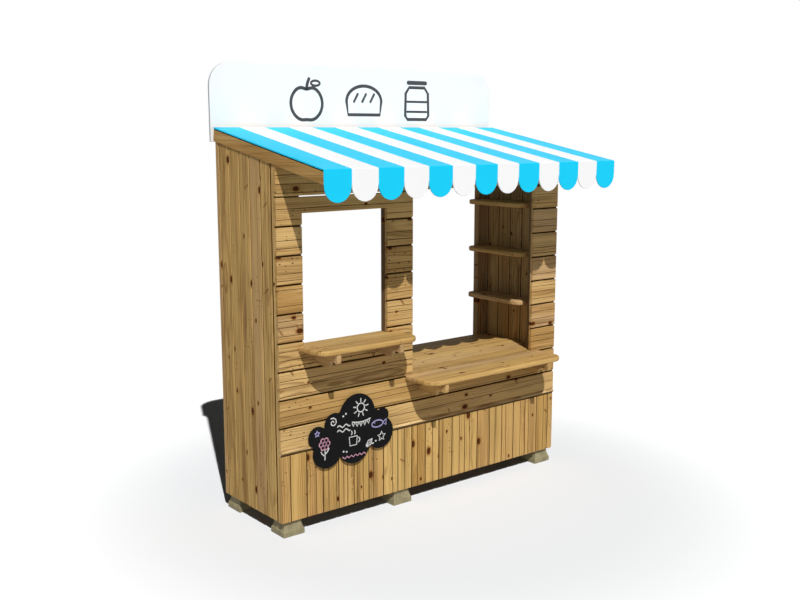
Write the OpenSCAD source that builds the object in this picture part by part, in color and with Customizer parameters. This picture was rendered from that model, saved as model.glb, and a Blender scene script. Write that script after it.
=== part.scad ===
// Wooden play market stall: an open frame with boarded walls, a window with a
// shelf counter, a serving opening with a deep counter, and a striped lean-to awning.
// Millimetres, +Z up, front towards -Y. The origin is on the floor, midway along the
// width and midway between the awning's fold and the back of the sign board.

/* [Overall size] */
// Width of the stall over its side walls
stall_w = 1600; // [1500:20:1760]
// Depth of the stall from the face of the front boards to the back of the side walls
stall_d = 466; // [440:2:560]
// Height of the wall bottoms above the floor
foot_h = 66; // [50:2:90]

/* [Walls] */
// Thickness of the boarded side walls
side_t = 45; // [40:1:60]
// Thickness of the front boards
board_t = 18; // [16:1:24]
// Thickness of the posts behind the front boards
post_t = 28; // [24:1:40]
// Cover width of one horizontal front board
board_pitch = 116.1; // [112:0.1:118]
// Width of the open joint between front boards
joint_w = 7; // [4:0.5:9]
// Depth of the joint between front boards
joint_d = 11; // [4:0.5:13]
// Width of the chamfer along each board edge
arris = 3; // [1:0.5:4]
// Height of the upright boarding at the base of the front
base_top = 348; // [300:2:370]
// Cover width of one upright board of the base
base_pitch = 80; // [60:1:100]
// Cover width of one upright board of the side walls
side_pitch = 80.4; // [60:0.2:100]

/* [Window] */
// Distance of the window from the left side
window_x0 = 119; // [110:1:140]
// Distance of the window's right edge from the left side
window_x1 = 547; // [500:1:560]
// Height of the window's head
window_top = 1327; // [1250:1:1350]
// Height of the left counter's top
left_counter_z = 796; // [740:2:840]

/* [Serving opening] */
// Distance of the serving opening from the left side
serve_x0 = 688; // [660:1:720]
// Distance of the serving opening's right edge from the left side
serve_x1 = 1435; // [1400:1:1440]
// Underside of the head board over both openings
head_z = 1398; // [1385:1:1410]
// Height of the right counter's top
right_counter_z = 590; // [540:2:620]

/* [Counters and shelves] */
// Thickness of the counters and shelves
counter_t = 22; // [18:1:30]
// Radius of the counters' front corners
counter_r = 60; // [20:2:80]
// Reach of the left counter in front of the boards
left_reach = 161; // [120:1:200]
// Reach of the right counter in front of the boards
right_reach = 181; // [140:1:220]
// Thickness of the counter brackets
bracket_t = 21; // [16:1:28]
// Height of a bracket at the wall
bracket_h = 60; // [50:1:70]
// Height of a bracket's nose at its front end
bracket_tip_h = 38; // [34:1:44]
// Radius of the cove behind a bracket's nose
bracket_cove_r = 29; // [24:1:32]
// Height of the lowest shelf's top
shelf_z = 818; // [780:2:840]
// Distance between shelves
shelf_pitch = 240; // [200:2:250]
// Depth of the shelves from the right wall's inner face
shelf_reach = 115; // [90:1:140]

/* [Awning] */
// Reach of the awning in front of the boards
awning_reach = 335; // [250:5:380]
// Height of the awning's fold
fold_z = 1512; // [1490:1:1530]
// Height of the awning's back edge
ridge_z = 1661; // [1640:1:1680]
// Distance of the awning's back edge behind the face of the front boards
awning_back = 469; // [466:1:480]
// Side overhang of the awning
awning_side = 4; // [0:1:10]
// Thickness of the awning sheet
sheet_t = 5; // [4:0.5:8]
// Number of stripes and of scallops
stripes = 13; // [9:2:17]
// Drop of the valance below the fold
valance_drop = 122.6; // [110:0.2:140]
// Height of the rafters, measured plumb
rafter_h = 52.3; // [45:0.1:60]

/* [Sign and cloud board] */
// Bottom of the sign board
sign_z0 = 1601; // [1590:1:1620]
// Top of the sign board
sign_z1 = 1932; // [1850:1:1980]
// Radius of the sign board's top corners
sign_r = 100; // [40:5:140]
// Thickness of the sign board
sign_t = 12; // [9:1:18]
// Gap between the walls' back and the sign board, taken by a batten
sign_gap = 29; // [20:1:40]
// Thickness of the cloud-shaped board
cloud_t = 6; // [4:0.5:12]

/* [Feet] */
// Width of a foot at the floor
foot_w = 102; // [90:1:120]
// Height of a foot's upright lip
foot_lip = 22; // [10:1:30]
// Inset of a foot's top behind its base
foot_flare = 11; // [4:1:20]
// Inset of the feet from the sides and the faces of the stall
foot_inset = 10; // [2:1:20]
// Distance of the middle feet from the left side
foot_mid_x = 585; // [560:1:640]

/* [Hidden] */
fine = 48;
left_x = -stall_w / 2;
mid_y = (stall_d + sign_gap + sign_t - awning_reach) / 2;
slope = (ridge_z - fold_z) / (awning_back + awning_reach);
rafter_w = 45;
window_post_w = window_x0 - side_t;
serving_post_w = 72;
serving_post_set = 15;
stile_w = 53;
stile_t = 34;
stile_lap = 13;
stile_y = stall_d - stile_lap;
rail_h = 90;
rail_t = 28;
base_rail_h = 24;
base_rail_out = 7;
counter_wing_left = 29;
counter_wing_right = 55;
right_wing_left = 45;
right_wing_right = 40;
shelf_front_y = 95;
shelf_r = 50;
bracket_set_left = 80;
bracket_set_right = 90;
bracket_back = 3;
lower_rows = 7;
split_z = head_z - joint_w - lower_rows * board_pitch;
wood = [0.78, 0.62, 0.38];
wood_shade = [0.70, 0.55, 0.33];
wood_top = [0.80, 0.65, 0.41];
foot_green = [0.62, 0.58, 0.42];
awning_blue = [0.16, 0.78, 0.98];
board_white = [0.96, 0.96, 0.95];
chalk_black = [0.06, 0.06, 0.065];

// Plan distances are measured from the stall's left side and from the face of the
// front boards. This puts a piece so measured into the part's own frame.
module seat() {
    translate([left_x, -mid_y, 0])
        children();
}

// Height of the awning's top surface at depth y
function roof_z(y) = fold_z + slope * (y + awning_reach);

// Height of the awning's underside and of the rafters' underside at depth y
function sheet_under(y) = roof_z(y) - sheet_t;
function rafter_under(y) = roof_z(y) - sheet_t - rafter_h;

// Heights of the joints between the horizontal boards, below the head board
function joints(z0, z1) = [
    for (k = [0:12])
        let (z = head_z - joint_w / 2 - k * board_pitch)
            if (z > z0 + 2 * joint_w && z < z1 - joint_w) z
];

// Outline of one chamfered joint, entered from its lower edge at the face
function notch(p) = [
    [0, p - joint_w / 2 - arris],
    [arris, p - joint_w / 2],
    [joint_d, p - joint_w / 2],
    [joint_d, p + joint_w / 2],
    [arris, p + joint_w / 2],
    [0, p + joint_w / 2 + arris]
];

// Piece of profile in the depth and height plane, drawn out along X from x0 to x1
module along_x(x0, x1) {
    translate([x0, 0, 0])
        rotate([90, 0, 90])
            linear_extrude(height = x1 - x0)
                children();
}

// Horizontal boards with open joints, as one profile between two heights. Where tongue
// is true, the lowest board stands on its tongue, behind the joint to the board below.
module boards(x0, x1, z0, z1, tongue) {
    cuts = joints(z0, z1);
    foot_z = tongue ? z0 + joint_w : z0;
    face = [for (i = [len(cuts) - 1:-1:0]) each notch(cuts[i])];
    heel = tongue ? [[joint_d, z0], [joint_d, foot_z]] : [];
    along_x(x0, x1)
        polygon(concat([[board_t, z0]], heel, [[arris, foot_z], [0, foot_z + arris]], face,
                       [[0, z1 - arris], [arris, z1], [board_t, z1]]));
}

// Plan outline of upright boards: a strip with a V groove at each joint, the first of
// them at distance first. The grooves are on the near face, and on the far face as well
// where both is true.
module upright_strip(length, thickness, first, pitch, both) {
    depth = 4;
    marks = [for (x = [first:pitch:length - 2 * depth]) x];
    last = len(marks) - 1;
    near = [for (x = marks) each [[x - depth, 0], [x, depth], [x + depth, 0]]];
    far = [for (i = [last:-1:0]) each [
        [marks[i] + depth, thickness],
        [marks[i], thickness - depth],
        [marks[i] - depth, thickness]]];
    polygon(concat([[0, 0]], near, [[length, 0], [length, thickness]], both ? far : [],
                   [[0, thickness]]));
}

// Slab with rounded front corners, in plan
module rounded_front(x0, x1, y0, y1, r) {
    translate([x0 + r, y0])
        square([x1 - x0 - 2 * r, y1 - y0]);
    translate([x0, y0 + r])
        square([x1 - x0, y1 - y0 - r]);
    translate([x0 + r, y0 + r])
        circle(r = r, $fn = fine);
    translate([x1 - r, y0 + r])
        circle(r = r, $fn = fine);
}

// Side wall of upright boards under the sloping rafter
module side_wall(x0) {
    wall_y0 = 2 * board_t;
    color(wood_shade)
        seat()
            intersection() {
                translate([x0, wall_y0, foot_h])
                    translate([side_t, 0, 0])
                        rotate([0, 0, 90])
                            linear_extrude(height = ridge_z)
                                upright_strip(stall_d - wall_y0, side_t, side_pitch,
                                              side_pitch, true);
                along_x(x0, x0 + side_t)
                    polygon([
                        [wall_y0, foot_h],
                        [stall_d, foot_h],
                        [stall_d, rafter_under(stall_d)],
                        [wall_y0, rafter_under(wall_y0)]
                    ]);
            }
}

module left_wall() {
    side_wall(0);
}

module right_wall() {
    side_wall(stall_w - side_t);
}

module front_left_pier() {
    color(wood)
        seat()
            boards(0, window_x0, split_z, head_z - joint_w, true);
}

module front_mid_pier() {
    color(wood)
        seat()
            boards(window_x1, serve_x0, split_z, head_z - joint_w, true);
}

module front_right_pier() {
    color(wood)
        seat()
            boards(serve_x1, stall_w, split_z, head_z - joint_w, true);
}

module front_over_window() {
    color(wood)
        seat()
            boards(window_x0, window_x1, window_top, head_z - joint_w, false);
}

module front_under_window() {
    color(wood)
        seat()
            boards(window_x0, window_x1, split_z, left_counter_z - counter_t, true);
}

// Boards over the full width, with the deep counter let into the top one
module front_lower_wall() {
    sill_z = right_counter_z - counter_t;
    color(wood)
        seat()
            difference() {
                boards(0, stall_w, base_top + base_rail_h, split_z, false);
                translate([serve_x0, -1, sill_z])
                    cube([serve_x1 - serve_x0, board_t + 2, split_z]);
            }
}

// Head board over both openings, closing the front up to the awning
module front_header() {
    color(wood)
        seat() {
            along_x(0, stall_w)
                polygon([
                    [board_t, head_z],
                    [arris, head_z],
                    [0, head_z + arris],
                    [0, rafter_under(0)],
                    [board_t, rafter_under(board_t)]
                ]);
            along_x(rafter_w - awning_side, stall_w - rafter_w + awning_side)
                polygon([
                    [board_t, head_z + rail_h / 2],
                    [arris, head_z + rail_h / 2],
                    [arris, sheet_under(arris)],
                    [board_t, sheet_under(board_t)]
                ]);
        }
}

// Upright boards at the base of the front
module base_panel() {
    color(wood)
        seat()
            translate([0, 0, foot_h])
                linear_extrude(height = base_top - foot_h)
                    upright_strip(stall_w, board_t, side_t, base_pitch, false);
}

// Weathered rail between the horizontal boards and the base
module base_rail() {
    color(wood_top)
        seat()
            along_x(0, stall_w)
                polygon([
                    [board_t, base_top],
                    [0, base_top],
                    [-base_rail_out + 2, base_top + 5],
                    [-base_rail_out, base_top + 9],
                    [-base_rail_out + 2, base_top + 12],
                    [0, base_top + base_rail_h - 2],
                    [board_t, base_top + base_rail_h]
                ]);
}

// Post behind the front boards, from the wall bottom to the rafters
module post(x0, x1, depth) {
    color(wood_shade)
        seat()
            translate([x0, board_t, foot_h])
                cube([x1 - x0, depth, rafter_under(board_t) - foot_h]);
}

module corner_post_left() {
    post(0, side_t, board_t);
}

module corner_post_right() {
    post(stall_w - side_t, stall_w, board_t);
}

module window_post() {
    post(side_t, window_x0, post_t);
}

module mid_post() {
    post(window_x1, serve_x0, post_t);
}

// Set back behind the ends of the boards beside the serving opening
module serving_post() {
    post_x = serve_x1 + serving_post_set;
    post(post_x, post_x + serving_post_w, post_t);
}

// Back stile inside a side wall, standing out behind it, under the top rail
module stile(x0) {
    stile_top = sheet_under(stall_d - rail_t) - rail_h;
    color(wood_shade)
        seat()
            translate([x0, stile_y, foot_h])
                cube([stile_w, stile_t, stile_top - foot_h]);
}

module back_stile_left() {
    stile(side_t);
}

module back_stile_right() {
    stile(stall_w - side_t - stile_w);
}

// Rail across the top of the back, cut to the awning's slope
module back_top_rail() {
    y0 = stall_d - rail_t;
    color(wood_shade)
        seat()
            along_x(side_t, stall_w - side_t)
                polygon([
                    [y0, sheet_under(y0) - rail_h],
                    [stall_d, sheet_under(y0) - rail_h],
                    [stall_d, sheet_under(stall_d)],
                    [y0, sheet_under(y0)]
                ]);
}

module back_bottom_rail() {
    color(wood_shade)
        seat()
            translate([side_t + stile_w, stall_d - rail_t, foot_h])
                cube([stall_w - 2 * (side_t + stile_w), rail_t, rail_h]);
}

// Leg that carries the back left corner of the deep counter
module counter_leg() {
    leg_z0 = foot_h + rail_h;
    color(wood_shade)
        seat()
            translate([serve_x0, stall_d - rail_t, leg_z0])
                cube([side_t, rail_t, right_counter_z - counter_t - leg_z0]);
}

module left_counter() {
    color(wood_top)
        seat()
            translate([0, 0, left_counter_z - counter_t])
                linear_extrude(height = counter_t) {
                    rounded_front(window_x0 - counter_wing_left, window_x1 + counter_wing_right,
                                  -left_reach, 0, counter_r);
                    translate([window_x0, -1])
                        square([window_x1 - window_x0, board_t + post_t + 1]);
                }
}

module right_counter() {
    inner_y = board_t + post_t;
    color(wood_top)
        seat()
            translate([0, 0, right_counter_z - counter_t])
                linear_extrude(height = counter_t) {
                    rounded_front(serve_x0 - right_wing_left, serve_x1 + right_wing_right,
                                  -right_reach, 0, counter_r);
                    translate([serve_x0, -1])
                        square([serve_x1 - serve_x0, stile_y + 1]);
                    translate([serve_x1 - 1, board_t])
                        square([serving_post_set + 1, post_t + 1]);
                    translate([serve_x1 - 1, inner_y])
                        square([stall_w - side_t - serve_x1 + 1, stile_y - inner_y]);
                    translate([serve_x0, stile_y - 1])
                        square([stall_w - side_t - stile_w - serve_x0, stall_d - stile_y + 1]);
                }
}

// Bracket under a counter: deep at the wall, with a cove behind its upright nose
module bracket(x0, counter_z, reach) {
    top = counter_z - counter_t;
    run = reach - bracket_back;
    cove_y = 0.79 * run;
    color(wood)
        seat()
            along_x(x0, x0 + bracket_t)
                difference() {
                    polygon([
                        [0, top],
                        [-run, top],
                        [-run, top - bracket_tip_h],
                        [-cove_y, top - bracket_tip_h],
                        [-cove_y, top - bracket_h],
                        [0, top - bracket_h]
                    ]);
                    translate([-cove_y, top - bracket_h])
                        circle(r = bracket_cove_r, $fn = fine);
                }
}

module left_counter_bracket_a() {
    bracket(window_x0 - counter_wing_left + bracket_set_left, left_counter_z, left_reach);
}

module left_counter_bracket_b() {
    bracket(window_x1 + counter_wing_right - bracket_set_right - bracket_t, left_counter_z,
            left_reach);
}

module right_counter_bracket_a() {
    bracket(serve_x0 - right_wing_left + bracket_set_left, right_counter_z, right_reach);
}

module right_counter_bracket_b() {
    bracket(serve_x1 + right_wing_right - bracket_set_right - bracket_t, right_counter_z,
            right_reach);
}

// Shelf on the right wall: rounded free corners, cut round the back stile
module shelf(level) {
    x1 = stall_w - side_t;
    x0 = x1 - shelf_reach;
    y1 = stile_y + stile_t;
    color(wood_top)
        seat()
            translate([0, 0, shelf_z + level * shelf_pitch - counter_t])
                linear_extrude(height = counter_t)
                    difference() {
                        union() {
                            rounded_front(x0, x1, shelf_front_y, shelf_front_y + 2 * shelf_r,
                                          shelf_r);
                            translate([x0, shelf_front_y + shelf_r])
                                square([shelf_reach, y1 - shelf_front_y - 2 * shelf_r]);
                            translate([x0 + shelf_r, y1 - shelf_r - 1])
                                square([shelf_reach - shelf_r, shelf_r + 1]);
                            translate([x0 + shelf_r, y1 - shelf_r])
                                circle(r = shelf_r, $fn = fine);
                        }
                        translate([x1 - stile_w, stile_y])
                            square([stile_w + 1, stile_t + 1]);
                    }
}

module shelf_low() {
    shelf(0);
}

module shelf_mid() {
    shelf(1);
}

module shelf_top() {
    shelf(2);
}

// Rafter on a side wall, plumb cut at both ends, reaching out to the valance
module rafter(x0) {
    y0 = sheet_t - awning_reach;
    color(wood_shade)
        seat()
            along_x(x0, x0 + rafter_w)
                polygon([
                    [y0, rafter_under(y0)],
                    [awning_back, rafter_under(awning_back)],
                    [awning_back, sheet_under(awning_back)],
                    [y0, sheet_under(y0)]
                ]);
}

module rafter_left() {
    rafter(-awning_side);
}

module rafter_right() {
    rafter(stall_w + awning_side - rafter_w);
}

module roof_sheet() {
    color(awning_blue)
        seat()
            along_x(-awning_side, stall_w + awning_side)
                polygon([
                    [-awning_reach, sheet_under(-awning_reach)],
                    [awning_back, sheet_under(awning_back)],
                    [awning_back, roof_z(awning_back)],
                    [-awning_reach, roof_z(-awning_reach)]
                ]);
}

// Front drop of the awning: one half-round scallop to each stripe
module valance() {
    pitch = (stall_w + 2 * awning_side) / stripes;
    scallop_r = pitch / 2 - 1;
    scallop_z = fold_z - valance_drop + scallop_r;
    color(awning_blue)
        seat()
            translate([-awning_side, sheet_t - awning_reach, 0])
                rotate([90, 0, 0])
                    linear_extrude(height = sheet_t) {
                        translate([0, scallop_z])
                            square([pitch * stripes, sheet_under(-awning_reach) - scallop_z]);
                        for (i = [0:stripes - 1])
                            translate([(i + 0.5) * pitch, scallop_z])
                                circle(r = scallop_r, $fn = fine);
                    }
}

// Batten that holds the sign board clear of the awning's back edge
module sign_batten() {
    batten_top = sheet_under(stall_d) - 4;
    color(wood_shade)
        seat()
            translate([side_t, stall_d, sign_z0 + 2])
                cube([stall_w - 2 * side_t, sign_gap, batten_top - sign_z0 - 2]);
}

module sign_board() {
    color(board_white)
        seat()
            translate([-awning_side, stall_d + sign_gap + sign_t, 0])
                rotate([90, 0, 0])
                    linear_extrude(height = sign_t)
                        translate([0, sign_z0 + sign_z1])
                            mirror([0, 1])
                                rounded_front(0, stall_w + 2 * awning_side, sign_z0, sign_z1,
                                              sign_r);
}

// Cloud-shaped board: one round lobe for each entry of centre x, centre z and radius
module cloud_board() {
    lobes = [
        [375, 463, 91],
        [258, 440, 50],
        [173, 401, 46],
        [219, 331, 70],
        [357, 337, 83],
        [495, 363, 70],
        [510, 438, 31],
        [330, 395, 105],
        [440, 400, 78],
        [224, 404, 22]
    ];
    color(chalk_black)
        seat()
            translate([0, -base_rail_out, 0])
                rotate([90, 0, 0])
                    linear_extrude(height = cloud_t)
                        for (lobe = lobes)
                            translate([lobe[0], lobe[1]])
                                circle(r = lobe[2], $fn = fine);
}

// Outline of a foot from one side: upright lip, then a hollow flare up to the wall
module foot_side(w) {
    steps = 6;
    flare_h = foot_h - foot_lip;
    function flare(t) = foot_flare * (1 - pow(1 - t, 2.2));
    right = [for (i = [0:steps]) [w - flare(i / steps), foot_lip + flare_h * i / steps]];
    left = [for (i = [steps:-1:0]) [flare(i / steps), foot_lip + flare_h * i / steps]];
    polygon(concat([[0, 0], [w, 0]], right, left));
}

// Foot pad flared on all four sides, as the crossing of two such outlines
module foot(x, y) {
    color(foot_green)
        seat()
            translate([x, y, 0])
                intersection() {
                    translate([0, foot_w, 0])
                        rotate([90, 0, 0])
                            linear_extrude(height = foot_w)
                                foot_side(foot_w);
                    along_x(0, foot_w)
                        foot_side(foot_w);
                }
}

foot_front_y = foot_inset / 2;
foot_back_y = stall_d - foot_w;
foot_right_x = stall_w - foot_inset - foot_w;

module foot_front_left() {
    foot(foot_inset, foot_front_y);
}

module foot_front_mid() {
    foot(foot_mid_x, foot_front_y);
}

module foot_front_right() {
    foot(foot_right_x, foot_front_y);
}

module foot_back_left() {
    foot(foot_inset, foot_back_y);
}

module foot_back_mid() {
    foot(foot_mid_x, foot_back_y);
}

module foot_back_right() {
    foot(foot_right_x, foot_back_y);
}

left_wall();
right_wall();
front_left_pier();
front_mid_pier();
front_right_pier();
front_over_window();
front_under_window();
front_lower_wall();
front_header();
base_panel();
base_rail();
corner_post_left();
corner_post_right();
window_post();
mid_post();
serving_post();
back_stile_left();
back_stile_right();
back_top_rail();
back_bottom_rail();
counter_leg();
left_counter();
right_counter();
left_counter_bracket_a();
left_counter_bracket_b();
right_counter_bracket_a();
right_counter_bracket_b();
shelf_low();
shelf_mid();
shelf_top();
rafter_left();
rafter_right();
roof_sheet();
valance();
sign_batten();
sign_board();
cloud_board();
foot_front_left();
foot_front_mid();
foot_front_right();
foot_back_left();
foot_back_mid();
foot_back_right();
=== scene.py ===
import math
import random

import bmesh
import bpy
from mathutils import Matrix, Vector


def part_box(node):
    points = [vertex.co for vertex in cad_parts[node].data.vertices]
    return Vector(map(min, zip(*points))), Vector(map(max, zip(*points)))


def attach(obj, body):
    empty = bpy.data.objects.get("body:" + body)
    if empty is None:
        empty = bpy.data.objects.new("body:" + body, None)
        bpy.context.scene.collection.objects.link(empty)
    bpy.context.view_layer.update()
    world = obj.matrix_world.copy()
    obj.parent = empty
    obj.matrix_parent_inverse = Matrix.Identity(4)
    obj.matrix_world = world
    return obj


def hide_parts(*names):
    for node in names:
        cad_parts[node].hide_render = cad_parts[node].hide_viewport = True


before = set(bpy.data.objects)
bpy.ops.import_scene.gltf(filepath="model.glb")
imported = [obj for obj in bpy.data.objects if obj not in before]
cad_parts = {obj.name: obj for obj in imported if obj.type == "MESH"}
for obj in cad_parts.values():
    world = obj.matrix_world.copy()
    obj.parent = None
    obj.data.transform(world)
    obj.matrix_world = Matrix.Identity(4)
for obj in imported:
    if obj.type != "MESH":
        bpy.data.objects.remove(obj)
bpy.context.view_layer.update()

print("frame loaded,", len(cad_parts), "nodes")

# Lengths below are millimetres from the stall's left side, from the face of the front
# boards and from the floor.
mm = 0.001
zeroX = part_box("left_wall")[0].x
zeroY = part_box("front_left_pier")[0].y


def place(x, y, z):
    return Vector((zeroX + x * mm, zeroY + y * mm, z * mm))


# Node box in the same millimetres: x0, x1, y0, y1, z0, z1
def span(node):
    low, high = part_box(node)
    return [
        (low.x - zeroX) / mm, (high.x - zeroX) / mm,
        (low.y - zeroY) / mm, (high.y - zeroY) / mm,
        low.z / mm, high.z / mm,
    ]


stallWidth = span("right_wall")[1]
roofBox = span("roof_sheet")
sheetThick = 5
boardThick = 18
roofSlope = (roofBox[5] - roofBox[4] - sheetThick) / (roofBox[3] - roofBox[2])


# Height of the awning's underside at depth y
def underSheet(y):
    return roofBox[4] + roofSlope * (y - roofBox[2])


rafterDeep = underSheet(span("rafter_left")[2]) - span("rafter_left")[4]


# Node helpers for the materials

def newMaterial(name):
    material = bpy.data.materials.new(name)
    material.use_nodes = True
    tree = material.node_tree
    tree.nodes.clear()
    out = tree.nodes.new("ShaderNodeOutputMaterial")
    shader = tree.nodes.new("ShaderNodeBsdfPrincipled")
    tree.links.new(shader.outputs[0], out.inputs[0])
    return material, tree, shader


def feed(tree, socket, value):
    if hasattr(value, "is_linked"):
        tree.links.new(value, socket)
    else:
        socket.default_value = value


def calc(tree, kind, first, second=0.0, third=0.0, clamp=False):
    node = tree.nodes.new("ShaderNodeMath")
    node.operation = kind
    node.use_clamp = clamp
    for socket, value in zip(node.inputs, (first, second, third)):
        feed(tree, socket, value)
    return node.outputs[0]


def blendColour(tree, amount, first, second, kind="MIX"):
    node = tree.nodes.new("ShaderNodeMix")
    node.data_type = "RGBA"
    node.blend_type = kind
    feed(tree, node.inputs[0], amount)
    feed(tree, node.inputs[6], first)
    feed(tree, node.inputs[7], second)
    return node.outputs[2]


def ramp(tree, value, low, high, outLow=0.0, outHigh=1.0):
    node = tree.nodes.new("ShaderNodeMapRange")
    node.interpolation_type = "SMOOTHSTEP"
    feed(tree, node.inputs[0], value)
    for socket, number in zip(list(node.inputs)[1:5], (low, high, outLow, outHigh)):
        socket.default_value = number
    return node.outputs[0]


def stretch(tree, vector, scale, shift=(0, 0, 0)):
    node = tree.nodes.new("ShaderNodeMapping")
    feed(tree, node.inputs[0], vector)
    node.inputs[1].default_value = shift
    node.inputs[3].default_value = scale
    return node.outputs[0]


def spin(tree, vector, angle):
    node = tree.nodes.new("ShaderNodeMapping")
    feed(tree, node.inputs[0], vector)
    node.inputs[2].default_value = (0, 0, angle)
    return node.outputs[0]


def attribute(tree, name):
    node = tree.nodes.new("ShaderNodeAttribute")
    node.attribute_name = name
    return node.outputs["Vector"]


def split(tree, vector):
    node = tree.nodes.new("ShaderNodeSeparateXYZ")
    feed(tree, node.inputs[0], vector)
    return list(node.outputs)


def noise(tree, vector, scale, detail=2.0, rough=0.5):
    node = tree.nodes.new("ShaderNodeTexNoise")
    feed(tree, node.inputs["Vector"], vector)
    node.inputs["Scale"].default_value = scale
    node.inputs["Detail"].default_value = detail
    node.inputs["Roughness"].default_value = rough
    return node.outputs[0]


def bump(tree, shader, height, depth, strength=1.0):
    node = tree.nodes.new("ShaderNodeBump")
    node.inputs["Strength"].default_value = strength
    node.inputs["Distance"].default_value = depth
    feed(tree, node.inputs["Height"], height)
    tree.links.new(node.outputs[0], shader.inputs["Normal"])


def rgb(r, g, b):
    return (r, g, b, 1.0)


# Oiled softwood. Each board carries two attributes: timber is the place along, across
# and through the board, pith is where its heart lies and how dark the board is.
def makeTimber(name, spec):
    material, tree, shader = newMaterial(name)
    grain = attribute(tree, "timber")
    pith = attribute(tree, "pith")
    across, through = split(tree, grain)[1:]
    heartSide, heartDeep, darkness = split(tree, pith)

    def times(first, second):
        return calc(tree, "MULTIPLY", first, second)

    # noise drawn out along the board
    def streaks(scale, detail, rough=0.5, shift=(0, 0, 0)):
        return noise(tree, stretch(tree, grain, scale, shift), 1.0, detail, rough)

    # knots: one cell each, most of them empty
    def knotField(cellScale, share, least, spread, squash, shift, slant=0.0):
        cells = tree.nodes.new("ShaderNodeTexVoronoi")
        cells.voronoi_dimensions = "2D"
        cells.inputs["Scale"].default_value = cellScale
        cells.inputs["Randomness"].default_value = 0.9
        spot = stretch(tree, spin(tree, grain, slant), (1.0, squash, 0), shift)
        tree.links.new(spot, cells.inputs["Vector"])
        lot = tree.nodes.new("ShaderNodeSeparateColor")
        tree.links.new(cells.outputs["Color"], lot.inputs[0])
        present = calc(tree, "GREATER_THAN", lot.outputs[0], 1.0 - share)
        away = calc(tree, "DIVIDE", cells.outputs["Distance"], cellScale)
        size = calc(tree, "MULTIPLY_ADD", lot.outputs[1], spread, least)
        wobbly = noise(tree, grain, 150.0, 2.0)
        inside = calc(tree, "SUBTRACT", away, least * 0.65)
        rough = calc(tree, "MULTIPLY_ADD", wobbly, least * 1.3, inside)
        return present, calc(tree, "DIVIDE", rough, size)

    present, reach = knotField(spec["knotCells"], spec["knotShare"], spec["knotLeast"],
                               spec["knotSpread"], 1.55, (0, 0, 0))
    core = times(present, ramp(tree, reach, 0.8, 1.1, 1.0, 0.0))
    halo = times(present, ramp(tree, reach, 0.9, 1.9, 1.0, 0.0))
    swell = times(present, ramp(tree, reach, 0.0, 3.4, spec["knotSwell"], 0.0))
    # pin knots, which come in patches
    pinPresent, pinReach = knotField(spec["pinCells"], spec["pinShare"], spec["pinLeast"],
                                     spec["pinSpread"], 1.3, (3.7, 1.9, 0))
    pinPatch = ramp(tree, streaks((2.2, 5.0, 5.0), 1.0, shift=(9, 0, 0)), 0.52, 0.60)
    pinCore = times(times(pinPresent, pinPatch), ramp(tree, pinReach, 0.7, 1.3, 1.0, 0.0))
    # spikes: branches sawn along their length
    spikePresent, spikeReach = knotField(spec["spikeCells"], spec["spikeShare"],
                                         spec["spikeLeast"], spec["spikeLeast"], 4.2,
                                         (7.1, 4.3, 0), 0.95)
    spike = times(spikePresent, ramp(tree, spikeReach, 0.75, 1.15, 1.0, 0.0))

    # yearly rings round the heart, bent by slow wander and by the knots
    sideways = calc(tree, "SUBTRACT", across, heartSide)
    depth = calc(tree, "SUBTRACT", through, heartDeep)
    squares = calc(tree, "ADD", times(sideways, sideways), times(depth, depth))
    radius = calc(tree, "SQRT", squares)
    wander = calc(tree, "MULTIPLY_ADD", streaks((2.3, 7.0, 7.0), 2.5), spec["wander"], radius)
    years = times(calc(tree, "ADD", wander, swell), spec["ringsPerMetre"])
    turn = calc(tree, "FRACT", years)
    late = times(ramp(tree, turn, 0.35, 0.90), ramp(tree, turn, 0.92, 1.0, 1.0, 0.0))
    yearLot = noise(tree, calc(tree, "FLOOR", years), 7.3, 0.0)
    lateSoft = times(late, ramp(tree, yearLot, 0.32, 0.66, 0.22, 1.0))

    broad = spec["streakGrain"]
    fibre = streaks((7.0, 420.0, 420.0), 3.0, 0.6)
    streak = streaks((1.5, broad, broad), 3.5, 0.6)
    thread = streaks((2.4, 150.0, 150.0), 2.0, shift=(5, 3, 1))
    cloudy = streaks((3.0, 9.0, 9.0), 2.0)

    # each board leans to yellow or to rose, with warmer wood near its heart
    boardHue = noise(tree, stretch(tree, pith, (41.0, 0, 0)), 1.0, 0.0)
    leaning = blendColour(tree, darkness, spec["palest"], spec["deepest"])
    rose = ramp(tree, boardHue, 0.48, 0.62, 0.0, 0.65)
    colour = blendColour(tree, rose, leaning, spec["rosy"])
    nearHeart = calc(tree, "ADD", wander, times(streak, 0.03))
    warm = ramp(tree, nearHeart, 0.045, 0.085, 1.0, 0.0)
    for amount, tone in (
        (times(warm, 0.7), spec["heartwood"]),
        (times(lateSoft, spec["ringDepth"]), spec["lateWood"]),
        (ramp(tree, streak, 0.32, 0.48, 0.70, 0.0), spec["palest"]),
        (ramp(tree, streak, 0.50, 0.70, 0.0, spec["streakDepth"]), spec["streakTone"]),
        (ramp(tree, thread, 0.60, 0.72, 0.0, spec["threadDepth"]), spec["lateWood"]),
    ):
        colour = blendColour(tree, amount, colour, tone)
    shaded = tree.nodes.new("ShaderNodeVectorMath")
    shaded.operation = "SCALE"
    tree.links.new(colour, shaded.inputs[0])
    patchy = calc(tree, "MULTIPLY_ADD", cloudy, 0.34, 0.72)
    tree.links.new(calc(tree, "MULTIPLY_ADD", fibre, 0.22, patchy), shaded.inputs["Scale"])
    colour = shaded.outputs[0]

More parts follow.
